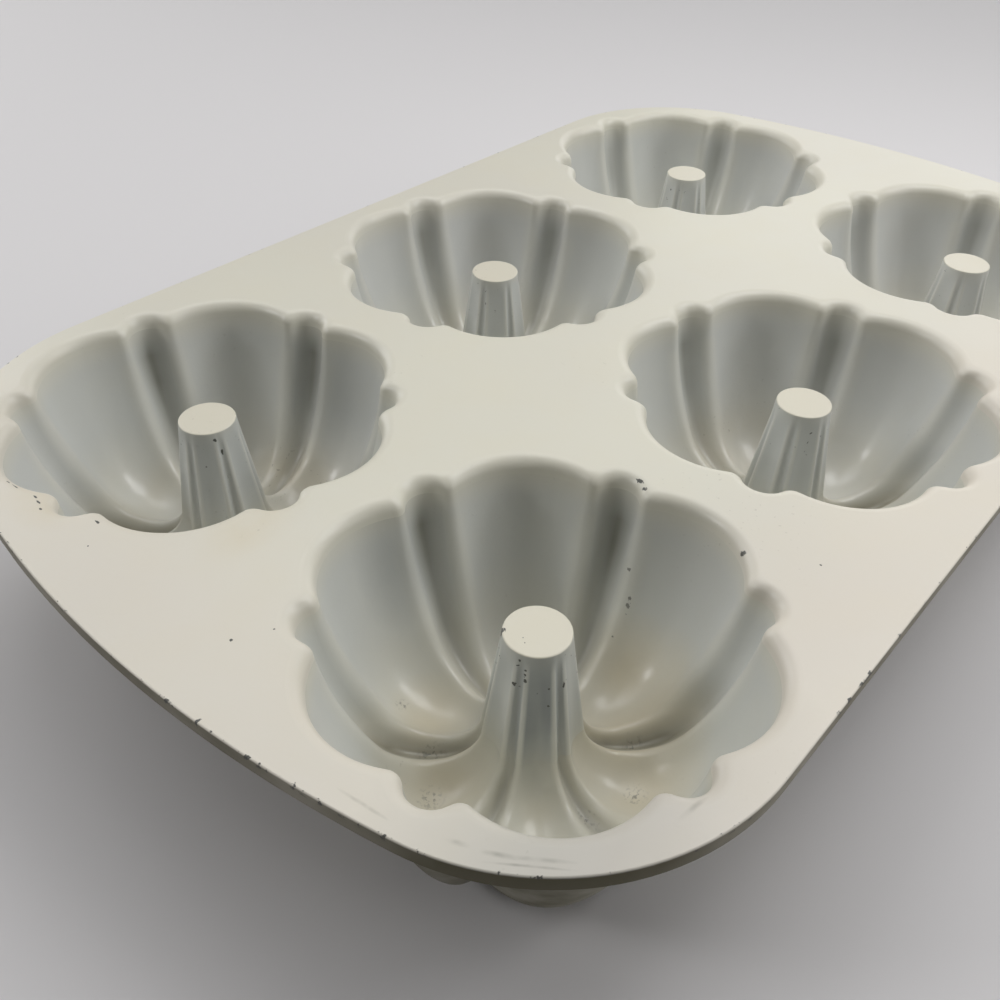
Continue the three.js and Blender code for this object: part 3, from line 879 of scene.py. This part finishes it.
def deck_material():
    """The coat on the deck: blushed near the camera, scuffed, with painted shade on its near corner, and
    burnt and chipped at its outer edge, with more painted shade on the edge's front corner.
    """
    tree, finish = coat_material("deck_coat", DECK_GLOSS)
    place, height = object_place(tree)
    edge = attribute(tree, "edge")
    lip = attribute(tree, "lip")
    band = ramp(height, *EDGE_BELOW_TOP) * ramp(edge, 0.85, 0.95)
    nibbled = noise(tree, place, 520, 3, 0.6) * 0.6 + noise(tree, place, 90, 1) * 0.2
    chips = ramp(nibbled + edge * 0.3, 0.765, 0.795) * ramp(edge, 0.5, 0.7)
    chips = chips * ramp(height, *CHIPPED_HEIGHTS)
    rubbed = marks(tree, DECK_SCUFFS, SCUFF) * ramp(noise(tree, place, 260, 2), 0.35, 0.65, 0.1, 0.45)
    # Painted shade on the near corner, laid in through the rub layer.
    deck_shade = marks(tree, DECK_SHADE_MARKS, STAIN) * 0.33
    split = add_node(tree, "ShaderNodeSeparateXYZ", {0: place})
    across, along = (Field(tree, split.outputs[axis]) for axis in "XY")
    outer = calc("MAXIMUM", ramp(across, *BLUSHED_END) * 0.7, ramp(along, *BLUSHED_SIDE))
    burn_and_shade = band * ramp(noise(tree, place, 70, 2), 0.3, 0.7, 0.7, 0.85)
    # Painted shade: the edge band's front corner is darkened further.
    burn_and_shade = calc("MAXIMUM", burn_and_shade, band * marks(tree, DECK_BAND_SHADE, STAIN) * 0.97)
    soil = marks(tree, DECK_STAINS, STAIN) * ramp(noise(tree, place, 90, 3), 0.4, 0.75, 0.2, 0.6)
    coolness = coolness_below_deck(height) * lip
    bare = calc("MAXIMUM", marks(tree, DECK_CHIPS, PIT), chips)
    underside = ramp(height, *UNDERSIDE_HEIGHTS) * (1 - lip)
    burn_and_shade = calc("MAXIMUM", burn_and_shade, underside * 0.45)
    return finish(
        Coolness=coolness, Blush=outer, Rub=deck_shade, Soil=soil, Grime=rubbed, Burn=burn_and_shade, Bare=bare,
    )


deck_coat = deck_material()


def deck_outline(inset):
    """Outer edge of the deck, drawn in by an inset."""
    bow = END_BOW_RADIUS - inset
    corner = CORNER_RADIUS - inset
    bow_x = DECK_HALF.x - END_BOW_RADIUS
    corner_y = DECK_HALF.y - CORNER_RADIUS
    swing = math.asin(corner_y / (bow - corner))
    corner_x = bow_x + (bow - corner) * math.cos(swing)
    bowed = [
        (bow_x + bow * math.cos(a), bow * math.sin(a))
        for a in np.linspace(-swing, swing, BOW_POINTS)
    ]
    turned = [
        (corner_x + corner * math.cos(a), corner_y + corner * math.sin(a))
        for a in np.linspace(swing, QUARTER, CORNER_POINTS)
    ]
    straight = [(x, corner_y + corner) for x in np.linspace(corner_x, -corner_x, SIDE_POINTS)]
    mirrored = [(-x, y) for x, y in reversed(turned)]
    half = np.array(bowed[:-1] + turned[:-1] + straight[:-1] + mirrored[:-1])
    return np.concatenate([half, -half])


def deck_edge_rings():
    """Rings from the underside round the outer edge to the top."""
    lower, upper = [], []
    for angle in np.linspace(0, QUARTER, EDGE_STEPS + 1):
        less_sine = EDGE_ROUND * (1 - math.sin(angle))
        less_cosine = EDGE_ROUND * (1 - math.cos(angle))
        lower.append((less_sine, DECK_UNDERSIDE + less_cosine))
        upper.append((less_cosine, DECK_TOP - less_sine))
    flat = [(EDGE_ROUND + LIP_SUPPORT, DECK_TOP), (EDGE_BAND, DECK_TOP)]
    section = [(EDGE_BAND, DECK_UNDERSIDE), *lower, *upper, *flat]
    worn = [0.0] + [1.0] * len(lower + upper) + [SUPPORT_WEAR, 0.0]
    return [np.insert(deck_outline(inset), 2, z, axis=1) for inset, z in section], worn


def lip_top(around):
    """Outline of a lip at the deck's top: flute and petal circles grown by the lip's round."""
    half = math.pi / CUP_SIZES["Petals"]
    from_flute = half - np.abs((around - CUP_SIZES["First Flute"]) % (2 * half) - half)
    flute_radius = CUP_SIZES["Flute Round"]
    flute_distance = CUP_SIZES["Petal Reach"] - CUP_SIZES["Flute Step"] - flute_radius
    petal_radius = CUP_SIZES["Petal Round"]
    petal_distance = CUP_SIZES["Petal Reach"] - petal_radius

    def far_side(distance, radius, angle):
        chord = (radius + LIP_ROUND) ** 2 - (distance * np.sin(angle)) ** 2
        return distance * np.cos(angle) + np.sqrt(np.maximum(chord, 0))

    flute = far_side(flute_distance, flute_radius, from_flute)
    petal = far_side(petal_distance, petal_radius, half - from_flute)
    near = np.maximum(1 - np.abs(flute - petal) / LIP_BLEND, 0)
    return np.maximum(flute, petal) + near ** 2 * LIP_BLEND / 4


def lip_rings():
    """Rings of one lip at the origin, from the cup's rim up to the deck's top."""
    rim, below = cup_ring(0), cup_ring(1)
    around = np.arctan2(rim[:, 1], rim[:, 0])
    radius = np.hypot(rim[:, 0], rim[:, 1])
    rise = radius - np.hypot(below[:, 0], below[:, 1])
    draft = np.arctan2(rise, rim[:, 2] - below[:, 2])
    tangent_height = DECK_TOP - LIP_ROUND * (1 - np.sin(draft))
    tangent_growth = (tangent_height - DECK_UNDERSIDE) * np.tan(draft)
    growth = lip_top(around) - radius
    level = np.zeros(len(rim))
    section = [(level + RIM_COVER, DECK_UNDERSIDE + level), (level, DECK_UNDERSIDE + level)]
    for share in np.linspace(0, 1, LIP_STEPS + 1):
        lean = draft + (QUARTER - draft) * share
        drawn = (np.cos(draft) - np.cos(lean)) / np.cos(draft)
        section.append((
            tangent_growth + (growth - tangent_growth) * drawn, DECK_TOP - LIP_ROUND * (1 - np.sin(lean))
        ))
    section.append((growth + LIP_SUPPORT, DECK_TOP + level))

    def ring(grown, z):
        return np.column_stack([(radius + grown) * np.cos(around), (radius + grown) * np.sin(around), z])

    return [ring(grown, z) for grown, z in section]


def deck_mesh():
    """Outer edge and lips, closed by the flat top and underside."""
    edge, worn = deck_edge_rings()
    lip = lip_rings()
    loops = [edge] + [[ring + np.array(place) for ring in lip] for place in cup_places.values()]
    points = []
    faces = []
    starts = []
    for rings in loops:
        starts.append([])
        for ring in rings:
            starts[-1].append(len(points))
            points.extend(ring)
    for rings, first, outer in zip(loops, starts, [True] + [False] * len(cup_places)):
        count = len(rings[0])
        for low, high in zip(first, first[1:]):
            for i in range(count):
                j = (i + 1) % count
                quad = (low + i, low + j, high + j, high + i)
                faces.append(quad if outer else quad[::-1])
    for level, up in ((0, False), (-1, True)):
        flat = [[Vector((x, y)) for x, y, _ in rings[level]] for rings in loops]
        index = [
            first[level] + i for rings, first in zip(loops, starts) for i in range(len(rings[level]))
        ]
        for triangle in tessellate_polygon(flat):
            a, b, c = (index[k] for k in triangle)
            turn = (points[b] - points[a])[:2], (points[c] - points[a])[:2]
            upward = turn[0][0] * turn[1][1] - turn[0][1] * turn[1][0] > 0
            faces.append((a, b, c) if upward == up else (a, c, b))
    mesh = bpy.data.meshes.new("deck_plate")
    mesh.from_pydata([tuple(p) for p in points], [], faces)
    mesh.materials.append(deck_coat)
    mesh.validate()
    edge_points = np.repeat(worn, len(edge[0]))
    lip_points = np.tile(np.repeat([0.0] + [1.0] * (len(lip) - 1), len(lip[0])), len(cup_places))
    store(mesh, "edge", np.concatenate([edge_points, np.zeros(len(lip_points))]))
    store(mesh, "lip", np.concatenate([np.zeros(len(edge_points)), lip_points]))
    return mesh


deck = deck_mesh()
soften(deck)
show("coated_deck", deck, "deck_coating", "deck_plate")

# Table
# A plain pale sheet of matt paper on which the pan stands.
# It reaches far beyond the picture on all sides, so no backdrop shows.
FLOOR_REACH = 6.0
PAPER = (0.7, 0.685, 0.69, 1)
PAPER_ROUGHNESS = 0.9
floor_mesh = bpy.data.meshes.new("floor")
floor_corners = [(x * FLOOR_REACH, y * FLOOR_REACH, 0) for x, y in ((-1, -1), (1, -1), (1, 1), (-1, 1))]
floor_mesh.from_pydata(floor_corners, [], [(0, 1, 2, 3)])
paper = bpy.data.materials.new("paper")
paper.use_nodes = True
paper.node_tree.nodes["Principled BSDF"].inputs["Base Color"].default_value = PAPER
paper.node_tree.nodes["Principled BSDF"].inputs["Roughness"].default_value = PAPER_ROUGHNESS
floor_mesh.materials.append(paper)
floor = bpy.data.objects.new("floor", floor_mesh)
bpy.context.scene.collection.objects.link(floor)

# Light
# Plain soft studio light: two lamps at the sides, whose glow shows on the cup floors, a box close over
# the far right, and wide weak boxes round the back. The camera's side stays dark, as in the photograph.
STUDIO_TINT = (0.97, 0.98, 1.0, 1)
STUDIO_GLOW = 0.02
PAN_MIDDLE = Vector((-0.05, 0, 0.03))
LAMP_SIDE, LAMP_AWAY = 0.3, 1.2
BOX_SIDE, BOX_AWAY = 0.9, 1.4
world = bpy.data.worlds.new("studio")
bpy.context.scene.world = world
world.use_nodes = True
world.node_tree.nodes["Background"].inputs["Color"].default_value = STUDIO_TINT
world.node_tree.nodes["Background"].inputs["Strength"].default_value = STUDIO_GLOW


def softbox(name, side, watts, offset):
    """A square lamp at an offset from the pan's middle, turned to face it."""
    light = bpy.data.lights.new(name, "AREA")
    light.size = side
    light.energy = watts
    lamp = bpy.data.objects.new(name, light)
    bpy.context.scene.collection.objects.link(lamp)
    lamp.location = PAN_MIDDLE + offset
    lamp.rotation_euler = (-offset).to_track_quat("-Z", "Y").to_euler()
    lamp.visible_camera = False


def direction(azimuth, elevation, distance):
    """Offset at a compass angle from +X towards +Y, and an angle above the table, in degrees."""
    turn, lift = math.radians(azimuth), math.radians(elevation)
    flat = math.cos(lift)
    return distance * Vector((math.cos(turn) * flat, math.sin(turn) * flat, math.sin(lift)))


softbox("left_lamp", LAMP_SIDE, 2.8, direction(141, 32, LAMP_AWAY))
softbox("right_lamp", LAMP_SIDE, 2.25, direction(317, 34, LAMP_AWAY))
softbox("far_right_box", LAMP_SIDE, 1.15, Vector((0.25, -0.15, 0.47)))
softbox("back_high_box", BOX_SIDE, 4.7, direction(52, 60, BOX_AWAY))
softbox("left_high_box", BOX_SIDE, 2.5, direction(108, 60, BOX_AWAY))
softbox("left_low_box", BOX_SIDE, 5.6, direction(94, 18, BOX_AWAY))
softbox("right_low_box", BOX_SIDE, 4.2, direction(294, 18, BOX_AWAY))
softbox("back_low_box", BOX_SIDE, 2.5, direction(12, 18, BOX_AWAY))

# Camera
# A camera held close over the pan's near corner, looking down along its diagonal.
# Its place, aim, roll and lens were worked out from the six tube tops in the photograph.
CAMERA_AT = Vector((-0.22884, -0.14298, 0.19778))
CAMERA_AIM = Vector((-0.09294, -0.02728, 0.0498))
CAMERA_ROLL = math.radians(1.315)
LENS, SENSOR = 36.41, 36
CLIP_START = 0.01
camera_data = bpy.data.cameras.new("camera")
camera_data.lens = LENS
camera_data.sensor_width = SENSOR
camera_data.clip_start = CLIP_START
camera = bpy.data.objects.new("camera", camera_data)
bpy.context.scene.collection.objects.link(camera)
camera.location = CAMERA_AT
aim = (CAMERA_AIM - CAMERA_AT).to_track_quat("-Z", "Y").to_matrix().to_4x4()
camera.rotation_euler = (aim @ Matrix.Rotation(CAMERA_ROLL, 4, "Z")).to_euler()
bpy.context.scene.camera = camera
bpy.context.scene.view_settings.view_transform = "Standard"
